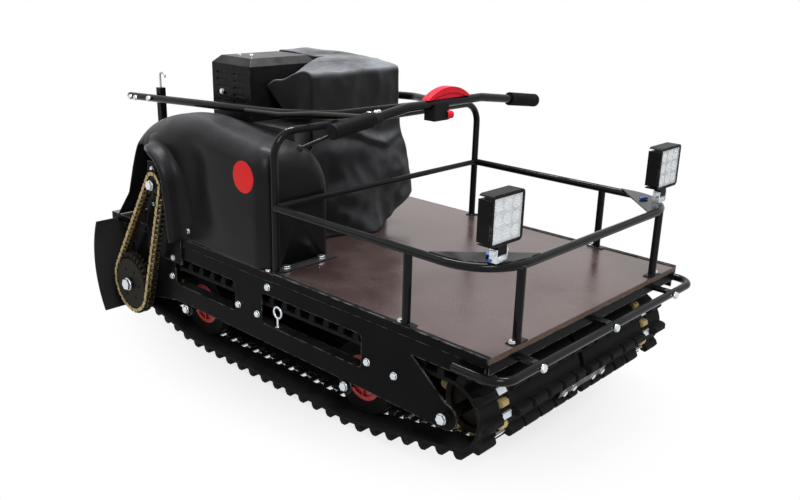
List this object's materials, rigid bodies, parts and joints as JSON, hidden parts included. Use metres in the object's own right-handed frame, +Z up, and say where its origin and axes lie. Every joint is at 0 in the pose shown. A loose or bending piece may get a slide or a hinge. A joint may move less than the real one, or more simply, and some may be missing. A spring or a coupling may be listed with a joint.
{
  "type": "tracked snow tug",
  "caption": "Tracked snow tug with twin rubber belts, a railed load deck, an engine under a cloth cover, a chain drive and a tiller folded forward",
  "frame": {"origin": "ground under the middle of the whole machine", "axes": "+X forward to the bumper, +Y to the left side, +Z up"},
  "size_m": [1.587, 0.944, 0.815],
  "materials": {
    "black_paint": "satin black powder coat",
    "zinc": "zinc plated steel",
    "dark_steel": "oiled dark steel",
    "belt_rubber": "moulded reinforced rubber",
    "tyre_rubber": "solid rubber tyre",
    "hub_red": "moulded red polymer",
    "sprocket_polymer": "yellowed polymer",
    "deck_film": "film-faced plywood",
    "cover_plastic": "moulded black plastic",
    "engine_metal": "dark engine castings",
    "muffler_paint": "heat resistant black",
    "cloth": "coated dark grey cloth",
    "chain_gold": "gold coloured chain plates",
    "lamp_alloy": "black coated die casting",
    "lamp_lens": "clear lens over reflectors",
    "grip_rubber": "ribbed rubber",
    "guard_red": "red moulded plastic",
    "control_plastic": "black control plastic",
    "flap_rubber": "sheet rubber"
  },
  "bodies": {
    "chassis": {"belt_right": "belt_rubber", "belt_left": "belt_rubber", "belt_cleats": "dark_steel", "front_shaft": "dark_steel", "rear_shaft": "dark_steel", "front_belt_sprockets": "sprocket_polymer", "rear_belt_sprockets": "sprocket_polymer", "front_roller_axle": "dark_steel", "rear_roller_axle": "dark_steel", "front_roller_hubs": "hub_red", "rear_roller_hubs": "hub_red", "front_roller_tyres": "tyre_rubber", "rear_roller_tyres": "tyre_rubber", "side_frame_right": "black_paint", "side_frame_left": "black_paint", "cross_members": "black_paint", "deck_board": "deck_film", "bumper": "black_paint", "guard_rail": "black_paint", "hoop": "black_paint", "tiller_posts": "black_paint", "tow_hitch": "black_paint", "mud_flap": "flap_rubber", "side_cover": "cover_plastic", "engine_block": "engine_metal", "muffler_box": "muffler_paint", "engine_cloth": "cloth", "drive_chain": "chain_gold", "big_sprocket": "dark_steel", "small_sprocket": "dark_steel", "jackshaft": "dark_steel", "lamp_bracket_right": "zinc", "lamp_bracket_left": "zinc"},
    "tiller": {"tiller_arm_right": "black_paint", "tiller_arm_left": "black_paint", "grip_bar": "black_paint", "grip_right": "grip_rubber", "grip_left": "grip_rubber", "brake_lever": "dark_steel", "hand_guard": "guard_red", "switch_box": "control_plastic"},
    "lamp_right": {"lamp_body_right": "lamp_alloy", "lamp_lens_right": "lamp_lens"},
    "lamp_left": {"lamp_body_left": "lamp_alloy", "lamp_lens_left": "lamp_lens"}
  },
  "joints": [
    {"name": "tiller_fold", "type": "hinge", "parent": "chassis", "child": "tiller", "pos_m": [-0.661, 0, 0.651], "axis": [0, -1, 0], "range_deg": [0, 150]},
    {"name": "lamp_right_tilt", "type": "hinge", "parent": "chassis", "child": "lamp_right", "pos_m": [0.7, -0.335, 0.523], "axis": [0, -1, 0], "range_deg": [-30, 45]},
    {"name": "lamp_left_tilt", "type": "hinge", "parent": "chassis", "child": "lamp_left", "pos_m": [0.7, 0.335, 0.523], "axis": [0, -1, 0], "range_deg": [-30, 45]}
  ]
}
